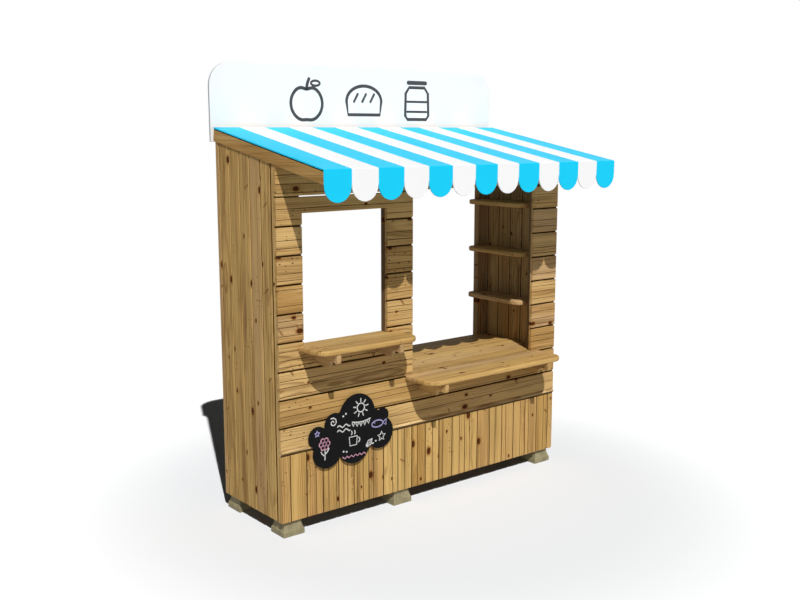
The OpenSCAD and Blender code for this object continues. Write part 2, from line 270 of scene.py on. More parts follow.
    # knots last, over the grain
    knotRing = ramp(tree, calc(tree, "FRACT", times(reach, 3.3)), 0.3, 0.9)
    knotInk = blendColour(tree, times(knotRing, 0.5), spec["knotTone"], spec["knotRim"])
    for amount, tone in (
        (times(halo, 0.70), spec["haloTone"]),
        (core, knotInk),
        (times(pinCore, 0.9), spec["knotTone"]),
        (times(spike, 0.7), spec["spikeTone"]),
    ):
        colour = blendColour(tree, amount, colour, tone)
    tree.links.new(colour, shader.inputs["Base Color"])
    gloss = calc(tree, "MULTIPLY_ADD", streak, 0.12, spec["rough"])
    tree.links.new(gloss, shader.inputs["Roughness"])
    shader.inputs["Specular IOR Level"].default_value = spec["shine"]
    height = calc(tree, "MULTIPLY_ADD", lateSoft, 0.5, times(fibre, 0.5))
    bump(tree, shader, calc(tree, "SUBTRACT", height, times(core, 0.3)), spec["relief"], 0.6)
    return material


boardTimber = {
    "palest": rgb(0.675, 0.445, 0.180),
    "deepest": rgb(0.490, 0.285, 0.092),
    "rosy": rgb(0.590, 0.385, 0.205),
    "heartwood": rgb(0.500, 0.275, 0.085),
    "lateWood": rgb(0.225, 0.110, 0.034),
    "streakTone": rgb(0.270, 0.145, 0.048),
    "haloTone": rgb(0.320, 0.122, 0.028),
    "knotTone": rgb(0.050, 0.015, 0.004),
    "knotRim": rgb(0.190, 0.062, 0.014),
    "ringDepth": 0.66,
    "wander": 0.042,
    "streakDepth": 0.62,
    "streakGrain": 40.0,
    "threadDepth": 0.45,
    "spikeCells": 5.0,
    "spikeShare": 0.06,
    "spikeLeast": 0.014,
    "spikeTone": rgb(0.200, 0.082, 0.020),
    "ringsPerMetre": 135.0,
    "knotCells": 5.6,
    "knotShare": 0.46,
    "knotLeast": 0.0065,
    "knotSpread": 0.0105,
    "knotSwell": 0.022,
    "pinCells": 34.0,
    "pinShare": 0.40,
    "pinLeast": 0.0014,
    "pinSpread": 0.0030,
    "rough": 0.58,
    "shine": 0.05,
    "relief": 0.0004,
}
topTimber = dict(
    boardTimber, palest=rgb(0.645, 0.415, 0.150), deepest=rgb(0.490, 0.290, 0.090),
    lateWood=rgb(0.265, 0.128, 0.036), knotShare=0.56, knotCells=5.8, wander=0.060,
    pinShare=0.34, shine=0.08, relief=0.0002)
shelfTimber = dict(
    topTimber, palest=rgb(0.610, 0.395, 0.150), deepest=rgb(0.470, 0.275, 0.084))
frameTimber = dict(boardTimber, knotShare=0.22, pinShare=0.2, ringDepth=0.55)
railTimber = dict(
    boardTimber, palest=rgb(0.740, 0.535, 0.260), deepest=rgb(0.560, 0.370, 0.150),
    rosy=rgb(0.680, 0.480, 0.220), knotShare=0.20)
baseTimber = dict(
    boardTimber, palest=rgb(0.665, 0.435, 0.155), deepest=rgb(0.480, 0.278, 0.080),
    rosy=rgb(0.600, 0.365, 0.140), haloTone=rgb(0.340, 0.135, 0.032), knotShare=0.76,
    knotSpread=0.012, pinShare=0.7)
sideTimber = dict(
    boardTimber, palest=rgb(0.685, 0.452, 0.170), deepest=rgb(0.475, 0.276, 0.083),
    rosy=rgb(0.575, 0.370, 0.175), knotShare=0.36, streakGrain=24.0, streakDepth=0.85,
    threadDepth=0.32)
# A darker copy of the board timber for the inside: painted shade for the stall's dim interior
insideShadeTimber = dict(
    boardTimber, palest=rgb(0.430, 0.285, 0.120), deepest=rgb(0.290, 0.175, 0.060),
    rosy=rgb(0.370, 0.245, 0.135), lateWood=rgb(0.130, 0.066, 0.024),
    heartwood=rgb(0.320, 0.180, 0.060))
# A still darker copy for faces in shade: painted shade on the posts' left faces beside the
# openings and under the rail's lip
jambShadeTimber = dict(
    frameTimber, palest=rgb(0.210, 0.136, 0.064), deepest=rgb(0.150, 0.092, 0.040),
    rosy=rgb(0.180, 0.118, 0.062), lateWood=rgb(0.060, 0.032, 0.014),
    heartwood=rgb(0.130, 0.072, 0.028))

boardWood = makeTimber("oiledBoards", boardTimber)
topWood = makeTimber("oiledTops", topTimber)
shelfWood = makeTimber("oiledShelves", shelfTimber)
frameWood = makeTimber("oiledBattens", frameTimber)
sideWood = makeTimber("oiledSides", sideTimber)
baseWood = makeTimber("oiledBase", baseTimber)
railWood = makeTimber("weatheredRail", railTimber)
insideShadeWood = makeTimber("insidePaintedShade", insideShadeTimber)
jambShadeWood = makeTimber("jambPaintedShade", jambShadeTimber)


# Painted shade: a dark finish for the inside of joints and saw lines, and for recesses and gaps,
# where shade falls
def makeJointShade(name, tone, dusk):
    material, tree, shader = newMaterial(name)
    grain = attribute(tree, "timber")
    shadeMottle = noise(tree, stretch(tree, grain, (14.0, 90.0, 90.0)), 1.0, 3.0)
    tree.links.new(blendColour(tree, ramp(tree, shadeMottle, 0.35, 0.65), tone, dusk),
                   shader.inputs["Base Color"])
    shader.inputs["Roughness"].default_value = 0.9
    shader.inputs["Specular IOR Level"].default_value = 0.05
    bump(tree, shader, shadeMottle, 0.0003, 0.5)
    return material


jointShade = makeJointShade("jointShade", rgb(0.115, 0.056, 0.013), rgb(0.044, 0.021, 0.005))
# a near-black strip between rafter and awning: painted shade for the shadow gap under the sheet
shadeStrip = makeJointShade("blackShadeStrip", rgb(0.008, 0.008, 0.008), rgb(0.004, 0.004, 0.004))


# A finish that isn't timber. The slow noise "cloud" moves the colour from the first tone
# to the second and the roughness with it, and the fine noise "grain" is its relief. A
# noise is given as scale, detail and roughness.
def makeCoat(name, tones, coat):
    material, tree, shader = newMaterial(name)
    here = tree.nodes.new("ShaderNodeTexCoord").outputs["Object"]
    cloud = noise(tree, stretch(tree, here, coat.get("stretch", (1, 1, 1))), *coat["cloud"])
    grain = noise(tree, here, *coat["grain"])
    colour = blendColour(tree, ramp(tree, cloud, *coat["spread"]), *tones)
    if "fleck" in coat:
        flecks = ramp(tree, grain, *coat["fleckSpread"])
        colour = blendColour(tree, flecks, colour, coat["fleck"])
    tree.links.new(colour, shader.inputs["Base Color"])
    rough = coat["rough"]
    patch = coat["roughPatch"]
    if patch:
        rough = calc(tree, "MULTIPLY_ADD", cloud, patch, rough - patch / 2)
    feed(tree, shader.inputs["Roughness"], rough)
    shader.inputs["Specular IOR Level"].default_value = coat.get("gloss", 0.5)
    bump(tree, shader, grain, *coat["relief"])
    return material


# A darker shade of a tone
def dim(tone, part):
    return tuple(c * part for c in tone[:3]) + (1.0,)


print("timber mixed")


# Mesh helpers. A mesh in work is a bmesh with the two timber attributes on its points.

sharpFrom = 32  # degrees from which an edge is shaded sharp


def startMesh():
    mesh = bmesh.new()
    mesh.verts.layers.float_vector.new("timber")
    mesh.verts.layers.float_vector.new("pith")
    return mesh


def boardLot(key):
    lot = random.Random("stall " + str(key))
    return {
        "shift": lot.uniform(0, 40),
        "pithSide": lot.uniform(-0.075, 0.075),
        "pithDeep": lot.choice((-1, 1)) * lot.uniform(0.012, 0.075),
        "tone": min(1.0, max(0.0, lot.gauss(0.42, 0.37))),
    }


# axes names the world axes along, across and through the board, such as "xzy"
def tagTimber(mesh, points, axes, key, middle=None):
    lot = boardLot(key)
    timber = mesh.verts.layers.float_vector["timber"]
    pith = mesh.verts.layers.float_vector["pith"]
    order = ["xyz".index(letter) for letter in axes]
    if middle is None:
        middle = [0.5 * (min(p.co[i] for p in points) + max(p.co[i] for p in points))
                  for i in range(3)]
    for point in points:
        local = [point.co[i] - middle[i] for i in order]
        point[timber] = (point.co[order[0]] + lot["shift"], local[1], local[2])
        point[pith] = (lot["pithSide"], lot["pithDeep"], lot["tone"])


# Point whose numbers are given in the order of the axes
def placeBy(order, numbers):
    spot = [0, 0, 0]
    for axis, number in zip(order, numbers):
        spot[axis] = number
    return place(*spot)


# Skin over rings of points, closed at both ends. shadeSides lie in a joint or saw line;
# they take the piece's second finish, which paints shade there.
def skinRings(mesh, rings, shadeSides=()):
    faces = [mesh.faces.new(rings[0]), mesh.faces.new(list(reversed(rings[-1])))]
    for near, far in zip(rings, rings[1:]):
        for i in range(len(near)):
            j = (i + 1) % len(near)
            faces.append(mesh.faces.new((near[j], near[i], far[i], far[j])))
            if i in shadeSides:
                faces[-1].material_index = 1
    bmesh.ops.recalc_face_normals(mesh, faces=faces)
    return faces


# A stick of timber: outline is a list of (across, through), drawn out along axes[0], or
# that list with the numbers of its sides that lie in a joint or saw line. Each end is
# rounded by its own figure, and lift slants the far end across the board.
def addStick(mesh, outline, start, stop, axes, key, ends=(1.0, 1.0), lift=0.0, middle=None):
    outline, shadeSides = outline if isinstance(outline, tuple) else (outline, ())
    order = ["xyz".index(letter) for letter in axes]
    low = [min(p[i] for p in outline) for i in range(2)]
    high = [max(p[i] for p in outline) for i in range(2)]
    mid = [0.5 * (low[i] + high[i]) for i in range(2)]
    stations = []
    if ends[0] > 0:
        stations.append((start, ends[0], 0))
    stations.append((start + ends[0], 0.0, 0))
    stations.append((stop - ends[1], 0.0, 1))
    if ends[1] > 0:
        stations.append((stop, ends[1], 1))
    rings = []
    for where, inset, far in stations:
        ring = []
        for p in outline:
            u, v = [mid[i] + (p[i] - mid[i]) * (1 - 2 * inset / (high[i] - low[i]))
                    for i in range(2)]
            slanted = where + far * lift * (u - low[0])
            ring.append(mesh.verts.new(placeBy(order, (slanted, u, v))))
        rings.append(ring)
    faces = skinRings(mesh, rings, shadeSides)
    tagTimber(mesh, [point for ring in rings for point in ring], axes, key, middle)
    return faces


# Quarter turn of points from one corner side to the other
def corner(cx, cy, r, fromAngle, steps=3):
    return [(cx + r * math.cos(math.radians(fromAngle + 90 * i / steps)),
             cy + r * math.sin(math.radians(fromAngle + 90 * i / steps)))
            for i in range(steps + 1)]


# Section of a batten: a rectangle with rounded corners
def batten(u0, u1, v0, v1, r, steps=3):
    return (corner(u1 - r, v1 - r, r, 0, steps) + corner(u0 + r, v1 - r, r, 90, steps)
            + corner(u0 + r, v0 + r, r, 180, steps) + corner(u1 - r, v0 + r, r, 270, steps))


# Saw lines that fall on a board, clear of its edges
def linesOn(lines, low, high, clear):
    return [line for line in lines if low + clear < line < high - clear]


# Section of a face board: rounded front edges at depth front, thin saw lines in the
# face, and where tongued a tongue below its lower edge. The sides that lie in a joint or
# saw line are given as well, for the painted shade there; free names its edges outside joints.
def faceBoard(u0, u1, front, back, spec, lines, tongued=True, free=""):
    inward = 1 if back > front else -1
    r = spec["edge"]
    wide = spec["lineWide"]
    turns = [math.radians(30 * i) for i in range(4)]
    points = [(u1 - r + r * math.cos(t), front + inward * (r - r * math.sin(t))) for t in turns]
    shadeSides = []
    for line in sorted(lines, reverse=True):
        shadeSides += [len(points), len(points) + 1]
        points += [(line + wide / 2, front), (line, front + inward * spec["lineDeep"]),
                   (line - wide / 2, front)]
    points += [(u0 + r - r * math.sin(t), front + inward * (r - r * math.cos(t))) for t in turns]
    if "low" not in free:
        shadeSides.append(len(points) - 1)
    if tongued:
        shadeSides.append(len(points))
        face = front + inward * spec["tongueDeep"]
        points += [(u0, face), (u0 - spec["gap"], face), (u0 - spec["gap"], back)]
    else:
        points.append((u0, back))
    points.append((u1, back))
    if "high" not in free:
        shadeSides.append(len(points) - 1)
    return points, shadeSides


# A plate with any outline in the plane of axes[0] and axes[1], drawn out along axes[2]
def addPlate(mesh, outline, low, high, axes, rounding, steps=3, sharp=25):
    order = ["xyz".index(letter) for letter in axes]
    rings = [[mesh.verts.new(placeBy(order, (p[0], p[1], level))) for p in outline]
             for level in (low, high)]
    faces = skinRings(mesh, rings)
    if rounding > 0:
        edges = {edge for face in faces for edge in face.edges}
        keen = [e for e in edges if e.calc_face_angle(0) > math.radians(sharp)]
        bmesh.ops.bevel(mesh, geom=keen, offset=rounding * mm, segments=steps, profile=0.5,
                        affect="EDGES", clamp_overlap=False)
        bmesh.ops.remove_doubles(mesh, verts=mesh.verts[:], dist=1e-6)
    return faces


# Turns a mesh into a finished piece, in place of the nodes given
def finishPiece(name, mesh, finishes, nodes=()):
    data = bpy.data.meshes.new(name)
    mesh.to_mesh(data)
    mesh.free()
    for face in data.polygons:
        face.use_smooth = True
    data.set_sharp_from_angle(angle=math.radians(sharpFrom))
    piece = bpy.data.objects.new(name, data)
    bpy.context.scene.collection.objects.link(piece)
    for finish in finishes:
        data.materials.append(finish)
    even = piece.modifiers.new("evenNormals", "WEIGHTED_NORMAL")
    even.keep_sharp = True
    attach(piece, "root")
    if nodes:
        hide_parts(*nodes)


# Front: horizontal face boards

frontBoards = {
    "topJoint": 1394.5,
    "cover": 116.1,
    "gap": 7.0,
    "edge": 3.0,
    "tongueDeep": 9.0,
    "lineWide": 2.2,
    "lineDeep": 2.4,
    "lineClear": 6,  # no saw line nearer an edge than this
    "sawLines": [
        [0.41, 0.77], [0.47, 0.74], [0.61, 0.84], [0.155, 0.71], [0.23, 0.44, 0.75],
        [0.30, 0.60, 0.83], [0.33, 0.56, 0.88], [0.38, 0.59, 0.90], [0.42, 0.78],
    ],
    "headLines": [1409, 1443, 1478],
    "headDrop": 1.5,  # how far the head board reaches below its node
    "headSetBack": 0.3,
    "upperSetBack": 3,  # its part between the rafters: from the face, and from each side
    "upperInset": 41,
    "wholeRows": [0, 5, 6],  # rows whose boards run from the left pier to the middle one
    "unevenness": 0.7,
}


# A row's lower and upper edge and its saw lines
def frontRow(row):
    top = frontBoards["topJoint"] - frontBoards["cover"] * row
    half = frontBoards["gap"] / 2
    lines = [top - frontBoards["cover"] * part for part in frontBoards["sawLines"][row]]
    return top - frontBoards["cover"] + half, top - half, lines


# One board of a row between two places; boards with the same key run on into each other
def addRowBoard(mesh, row, x0, x1, key, ends, low=None, high=None, tongued=True):
    rowLow, rowHigh, sawLines = frontRow(row)
    z0 = rowLow if low is None else low
    z1 = rowHigh if high is None else high
    front = random.Random("set " + key).uniform(0, frontBoards["unevenness"])
    lines = linesOn(sawLines, z0, z1, frontBoards["lineClear"])
    section = faceBoard(z0, z1, front, boardThick, frontBoards, lines, tongued,
                        "" if tongued else "low")
    middle = place(0, boardThick / 2, 0.5 * (rowLow + rowHigh))
    addStick(mesh, section, x0, x1, "xzy", key, ends, middle=middle)


# A piece of the front from its boards, each given as addRowBoard takes them
def layFront(name, node, boards):
    mesh = startMesh()
    for board in boards:
        addRowBoard(mesh, *board)
    finishPiece(name, mesh, [boardWood, jointShade], [node])


leftPier = span("front_left_pier")
midPier = span("front_mid_pier")
rightPier = span("front_right_pier")
serveX0 = midPier[1]
serveX1 = rightPier[0]
railBox = span("base_rail")
wholeRows = frontBoards["wholeRows"]

leftRows = []
midRows = []
for row in range(7):
    joined = row in wholeRows
    inner = 0 if joined else 1
    leftRows.append((row, 0, leftPier[1], "left " + str(row), (1, inner)))
    midKey = ("left " if joined else "mid ") + str(row)
    midRows.append((row, midPier[0], midPier[1], midKey, (inner, 1)))
layFront("left_pier_boards", "front_left_pier", leftRows)
layFront("mid_pier_boards", "front_mid_pier", midRows)
layFront("right_pier_boards", "front_right_pier",
         [(row, rightPier[0], rightPier[1], "right " + str(row), (1, 1)) for row in range(7)])
overLow = span("front_over_window")[4]
layFront("over_window_board", "front_over_window",
         [(0, leftPier[1], midPier[0], "left 0", (0, 0), overLow, None, False)])
sillHigh = span("front_under_window")[5]
layFront("under_window_boards", "front_under_window",
         [(5, leftPier[1], midPier[0], "left 5", (0, 0), None, sillHigh),
          (6, leftPier[1], midPier[0], "left 6", (0, 0))])
counterUnder = span("right_counter")[4]
layFront("lower_wall_boards", "front_lower_wall",
         [(7, 0, serveX0, "lower 7", (1, 0)),
          (7, serveX0, serveX1, "lower 7", (0, 0), None, counterUnder),
          (7, serveX1, stallWidth, "lower 7", (0, 1)),
          (8, 0, stallWidth, "lower 8", (1, 1), railBox[5], None, False)])

# head board, whose upper part runs between the rafters
headLow = span("front_header")[4] - frontBoards["headDrop"]
headTop = underSheet(0) - rafterDeep
headMesh = startMesh()
section = faceBoard(headLow, headTop, frontBoards["headSetBack"], boardThick, frontBoards,
                    frontBoards["headLines"], False)
addStick(headMesh, section, 0, stallWidth, "xzy", "head")
setBack = frontBoards["upperSetBack"]
upper = [(headTop, setBack), (headTop, boardThick), (underSheet(boardThick), boardThick),
         (underSheet(setBack), setBack)]
addStick(headMesh, upper, frontBoards["upperInset"], stallWidth - frontBoards["upperInset"],
         "xzy", "head upper", (0.5, 0.5))
finishPiece("head_board", headMesh, [boardWood, jointShade], ["front_header"])
print("front boards laid")

# Base: upright boards and the weathered rail over them

baseBoards = {
    "firstJoint": 45,
    "joints": 20,
    "cover": 80,
    "gap": 4.4,
    "edge": 2.6,
    "tongueDeep": 12,
    "lineWide": 2.8,
    "lineDeep": 3.4,
    "lineClear": 8,
    "sawLines": [
        169, 232, 272, 309, 329, 381, 413, 468, 573, 641, 687, 717, 805, 867, 970, 1035,
        1155, 1200, 1272, 1372, 1430, 1533,
    ],
    "unevenness": 1.2,
    "ends": (1.2, 0.4),
}
baseRail = {
    "strip": [(0, 5.5), (3.2, 5.5), (4, 3.2)],  # height over the lower edge, depth
    "lip": [(12.5, 2.4), (14, 0.6), (15.8, 0), (17.6, 0.6), (19, 2.2)],
    "topEdge": [(-0.8, 0), (0, 2)],  # height from the upper edge, depth
    # height of the painted shadow line along the rail's bottom
    "stripHigh": 3.8,
}

baseBox = span("base_panel")
baseMesh = startMesh()
joints = [0] + [baseBoards["firstJoint"] + baseBoards["cover"] * k
                for k in range(baseBoards["joints"])] + [stallWidth]
half = baseBoards["gap"] / 2
for k, (x0, x1) in enumerate(zip(joints, joints[1:])):
    first = k == 0
    last = k == baseBoards["joints"]
    front = random.Random("base board " + str(k)).uniform(0, baseBoards["unevenness"])
    lines = linesOn(baseBoards["sawLines"], x0, x1, baseBoards["lineClear"])
    section = faceBoard(x0 + half * (not first), x1 - half * (not last), front, boardThick,
                        baseBoards, lines, not first, "low" if first else "high" if last else "")
    addStick(baseMesh, section, baseBox[4], baseBox[5], "zxy", "base " + str(k),
             baseBoards["ends"])
finishPiece("base_boards", baseMesh, [baseWood, jointShade], ["base_panel"])

# the rail: a pale lip over a slanting underside in painted shade, with a painted shadow line
# along the bottom
low, high, lip = railBox[4], railBox[5], railBox[2]
railSection = (
    [(low, boardThick)]
    + [(low + up, deep) for up, deep in baseRail["strip"]]
    + [(low + up, lip + deep) for up, deep in baseRail["lip"]]
    + [(high + up, deep) for up, deep in baseRail["topEdge"]]
    + [(high, boardThick)]
)
railMesh = startMesh()
addStick(railMesh, railSection, 0, stallWidth, "xzy", "base rail")
# painted shade: the strip along the bottom gets the joint finish, the slanting underside the dark
# jamb timber
for face in railMesh.faces:
    faceZ = face.calc_center_median().z
    if face.normal.y < -0.5 and faceZ < (low + baseRail["stripHigh"]) * mm:
        face.material_index = 1
    elif face.normal.z < -0.5 and face.normal.y < -0.3:
        face.material_index = 2
finishPiece("base_rail_strip", railMesh, [railWood, jointShade, jambShadeWood],
            ["base_rail"])

# Side walls: boards on both faces of a thin frame

sideBoards = {
    "cover": 80.4,
    "gap": 5.0,
    "edge": 2.6,
    "tongueDeep": 9,
    "lineWide": 1.5,
    "lineDeep": 1.6,
    "lineClear": 8,
    "narrowest": 8,
    "topClear": 0.3,  # left free under the rafters
    "skinFront": 44,  # the outer boards start here, behind the strip and the recess
    "stripFront": 18.4,
    "stripBack": 32,
    "stripSetBack": 0.6,
    "stripEdge": 1.5,
    "recessDeep": 4,
    "recessLap": 3,  # how far it runs on behind the first board
    "recessTopAt": 30,  # depth at which its height is taken
    "studClear": 0.2,
    "frontStud": 90,  # its back edge
    "midStud": (212, 268),
    "backStud": 402,  # its front edge
    "outerLines": [58, 77, 141, 222, 246, 307, 339, 402],
    "innerLines": [62, 107, 143, 181, 212, 261, 296, 325, 362, 421],
    "unevenness": 0.9,
}


# Height at which a stick behind the boards ends, just under the rafter
def stickTop(y):
    return underSheet(y) - rafterDeep - 1


# One side wall, from the x of its outer face and of its inner one
def buildSideWall(name, node, outerX, innerX):
    foot, wallFront, wallBack = [span(node)[i] for i in (4, 2, 3)]
    mesh = startMesh()
    inward = 1 if innerX > outerX else -1
    half = sideBoards["gap"] / 2
    for face, turned, lines, label in (
        (outerX, inward, sideBoards["outerLines"], "outer "),
        (innerX, -inward, sideBoards["innerLines"], "inner "),
    ):
        joints = [wallFront]
        while joints[-1] + sideBoards["cover"] < wallBack - sideBoards["narrowest"]:
            joints.append(joints[-1] + sideBoards["cover"])
        joints.append(wallBack)
        if label == "outer ":
            joints[0] = sideBoards["skinFront"]
        for k, (y0, y1) in enumerate(zip(joints, joints[1:])):
            key = name + label + str(k)
            last = y1 == wallBack
            start = y0 + half * (k > 0)
            front = face + turned * random.Random(key).uniform(0, sideBoards["unevenness"])
            cuts = linesOn(lines, y0, y1, sideBoards["lineClear"])
            section = faceBoard(start, y1 - half * (not last), front, face + turned * boardThick,
                                sideBoards, cuts, k > 0, "high" if last else "")
            top = underSheet(start) - rafterDeep - sideBoards["topClear"]
            sides = addStick(mesh, section, foot, top, "zyx", key, (1.0, 0.0), roofSlope)
            # inner boards take the darker inside timber, painted shade; their joint faces keep
            # the joint finish
            if label == "inner ":
                for side in sides:
                    side.material_index = side.material_index or 2

    # light strip behind the ends of the front boards, and beside it a recess painted dark with
    # the joint finish, a painted shade
    stripBack = sideBoards["stripBack"]
    x0, x1 = sorted((outerX + inward * sideBoards["stripSetBack"], outerX + inward * boardThick))
    strip = batten(sideBoards["stripFront"], stripBack, x0, x1, sideBoards["stripEdge"])
    addStick(mesh, strip, foot, stickTop(sideBoards["stripFront"]), "zyx", name + " strip",
             (0.8, 0.0))
    x0, x1 = sorted((outerX + inward * sideBoards["recessDeep"],
                     outerX + inward * (boardThick - 1)))
    recess = batten(stripBack + sideBoards["studClear"],
                    sideBoards["skinFront"] + sideBoards["recessLap"], x0, x1, 0.6)
    for side in addStick(mesh, recess, foot + 2, stickTop(sideBoards["recessTopAt"]), "zyx",
                         name + " recess", (0.0, 0.0)):
        side.material_index = 1

    clear = boardThick + sideBoards["studClear"]
    x0, x1 = sorted((outerX + inward * clear, innerX - inward * clear))
    studs = ((wallFront + 2, sideBoards["frontStud"]), sideBoards["midStud"],
             (sideBoards["backStud"], wallBack - 0.5))
    for k, (y0, y1) in enumerate(studs):
        addStick(mesh, batten(y0, y1, x0, x1, 1.0), foot + 1, stickTop(y0), "zyx",
                 name + " stud " + str(k), (0.5, 0.0))
    finishPiece(name, mesh, [sideWood, jointShade, insideShadeWood], [node])


leftWall = span("left_wall")
rightWall = span("right_wall")
buildSideWall("left_side_boards", "left_wall", leftWall[0], leftWall[1])
buildSideWall("right_side_boards", "right_wall", rightWall[1], rightWall[0])
print("walls boarded")

# Frame battens: posts, stiles, rails and the counter's leg

# rounding, finishes, and the side with the second finish, a painted shade: -1 left, 1 right
uprights = {
    # the corner posts' outer faces take the joint finish, painted shade seen through the gap at
    # the corners
    "corner_post_left": (2.5, [frameWood, jointShade], -1),
    "corner_post_right": (2.5, [frameWood, jointShade], 1),
    # the posts beside the openings and the back stiles take the darker inside timber, painted
    # shade
    "window_post": (2.5, [insideShadeWood, jambShadeWood], -1),
    "mid_post": (2.5, [insideShadeWood, jambShadeWood], -1),
    "serving_post": (2.5, [insideShadeWood, jambShadeWood], -1),
    "back_stile_left": (3.0, [insideShadeWood], 0),
    "back_stile_right": (3.0, [insideShadeWood], 0),
    "counter_leg": (3.0, [frameWood], 0),
}
for node, (edge, woods, darkSide) in uprights.items():
    box = span(node)
    if node == "corner_post_left":
        box[0] = boardThick + sideBoards["studClear"]
    if node == "corner_post_right":
        box[1] = stallWidth - boardThick - sideBoards["studClear"]
    mesh = startMesh()
    addStick(mesh, batten(*box[:4], edge), box[4], box[5], "zxy", node)
    # faces on that side take the second finish, painted shade
    for face in mesh.faces:
        if face.normal.x * darkSide > 0.5:
            face.material_index = 1
    finishPiece(node + "_batten", mesh, woods, [node])

for node, edge in {"back_bottom_rail": 3.0, "sign_batten": 2.0}.items():
    box = span(node)
    mesh = startMesh()
    addStick(mesh, batten(box[4], box[5], box[2], box[3], edge), box[0], box[1], "xzy", node)
    # the back bottom rail takes the darker inside timber, painted shade
    wood = insideShadeWood if node == "back_bottom_rail" else frameWood
    finishPiece(node + "_batten", mesh, [wood], [node])

# the back top rail takes the darker inside timber as well, painted shade
box = span("back_top_rail")
mesh = startMesh()
addStick(mesh, [(box[4], box[2]), (box[4], box[3] - 2), (box[4] + 2, box[3]),
                (underSheet(box[3]), box[3]), (underSheet(box[2]), box[2])],
         box[0], box[1], "xzy", "back_top_rail")
finishPiece("back_top_rail_batten", mesh, [insideShadeWood], ["back_top_rail"])

rafters = {
    "edge": 2.0,
    # its near-black finish is painted shade for the shadow gap between rafter and awning
    "shadeStrip": 5.0,  # dark strip between rafter and awning
    "shadeStripShort": 2,  # shorter than the rafter at each end
    "shadeStripSink": 1,  # let into the rafter, and narrower on each side
    "shadeStripClear": 0.2,  # under the awning
}


# Side view of a straight bar that follows the awning, by its drops below the sheet
def slopedBar(front, back, lowDrop, highDrop):
    return [(y, underSheet(y) - drop) for y, drop in
            ((front, lowDrop), (back, lowDrop), (back, highDrop), (front, highDrop))]


for node in ("rafter_left", "rafter_right"):
    x0, x1, front, back = span(node)[:4]
    sink = rafters["shadeStripSink"]
    short = rafters["shadeStripShort"]
    beam = slopedBar(front, back, rafterDeep, rafters["shadeStrip"])
    strip = slopedBar(front + short, back - short, rafters["shadeStrip"] + sink,
                      rafters["shadeStripClear"])
    mesh = startMesh()
    addPlate(mesh, beam, x0, x1, "yzx", rafters["edge"])
    # the strip takes the near-black finish, painted shade
    for face in addPlate(mesh, strip, x0 + sink, x1 - sink, "yzx", 0):
        face.material_index = 1
    tagTimber(mesh, mesh.verts[:], "yzx", node)
    finishPiece(node + "_beam", mesh, [frameWood, shadeStrip], [node])
print("frame set up")

# Counters, shelves and brackets

tops = {
    "frontRadius": 60,
    "frontSteps": 10,
    "edge": 7.0,
    "wing": 40,  # the wide counter past the serving opening
    "shelfRadius": 50,
    "shelfSteps": 8,
    "shelfEdge": 5.0,
    "seamWide": 2.2,
    "seamDeep": 2.0,
    "leftSeams": [-110, -52, 4],
    "rightSeams": [-131, -74, -6, 85, 178, 234, 310, 381],
}


# Cuts thin glue lines into a top along X at the given depths, and gives each plank its grain
def seamPlanks(mesh, seams, name, top, bottom):
    wide = tops["seamWide"]
    deep = tops["seamDeep"] * mm
    for seam in seams:
        for shift in (-wide / 2, 0, wide / 2):
            geometry = mesh.verts[:] + mesh.edges[:] + mesh.faces[:]
            bmesh.ops.bisect_plane(mesh, geom=geometry, dist=1e-7,
                                   plane_co=place(0, seam + shift, 0), plane_no=(0, 1, 0))
    seamYs = [place(0, seam, 0).y for seam in seams]
    for seamY in seamYs:
        for point in mesh.verts:
            if abs(point.co.y - seamY) < 2e-6:
                if abs(point.co.z - top * mm) < 1e-5:
                    point.co.z -= deep
                elif abs(point.co.z - bottom * mm) < 1e-5:
                    point.co.z += deep
    edges = [-1e6] + seamYs + [1e6]
    for k, (y0, y1) in enumerate(zip(edges, edges[1:])):
        points = [p for p in mesh.verts if y0 < p.co.y <= y1]
        if points:
            tagTimber(mesh, points, "xyz", name + " plank " + str(k))


# Front of a top with its two rounded corners, from the left side to the right
def roundFront(x0, x1, y, r, steps):
    return corner(x0 + r, y + r, r, 180, steps) + corner(x1 - r, y + r, r, 270, steps)


def buildCounter(label, node, outline, seams):
    low, high = span(node)[4:]
    mesh = startMesh()
    addPlate(mesh, outline, low, high, "xyz", tops["edge"], 4)
    seamPlanks(mesh, seams, label, high, low)
    finishPiece(node + "_top", mesh, [topWood], [node])


x0, x1, front, back = span("left_counter")[:4]
openX0 = leftPier[1]
openX1 = midPier[0]
outline = roundFront(x0, x1, front, tops["frontRadius"], tops["frontSteps"])
outline += [(x1, 0), (openX1, 0), (openX1, back), (openX0, back), (openX0, 0), (x0, 0)]
buildCounter("left counter", "left_counter", outline, tops["leftSeams"])

# the wide counter goes round the right pier with its post and the back stile
x0, x1, front, back = span("right_counter")[:4]
stileX = span("back_stile_right")[0]
stileY = span("back_stile_right")[2]
postX = span("serving_post")[0]
postY = span("serving_post")[3]
wingEnd = serveX1 + tops["wing"]
outline = roundFront(x0, wingEnd, front, tops["frontRadius"], tops["frontSteps"])
outline += [(wingEnd, 0), (serveX1, 0), (serveX1, boardThick), (postX, boardThick),
            (postX, postY), (x1, postY), (x1, stileY), (stileX, stileY), (stileX, back),
            (serveX0, back), (serveX0, 0), (x0, 0)]
buildCounter("right counter", "right_counter", outline, tops["rightSeams"])

for node in ("shelf_low", "shelf_mid", "shelf_top"):
    x0, x1, front, back, low, high = span(node)
    r = tops["shelfRadius"]
    outline = roundFront(x0, x1, front, r, tops["shelfSteps"])
    outline += [(x1, stileY), (stileX, stileY), (stileX, back)]
    outline += corner(x0 + r, back - r, r, 90, tops["shelfSteps"])
    mesh = startMesh()
    addPlate(mesh, outline, low, high, "xyz", tops["shelfEdge"])
    tagTimber(mesh, mesh.verts[:], "yxz", node)
    finishPiece(node + "_board", mesh, [shelfWood], [node])

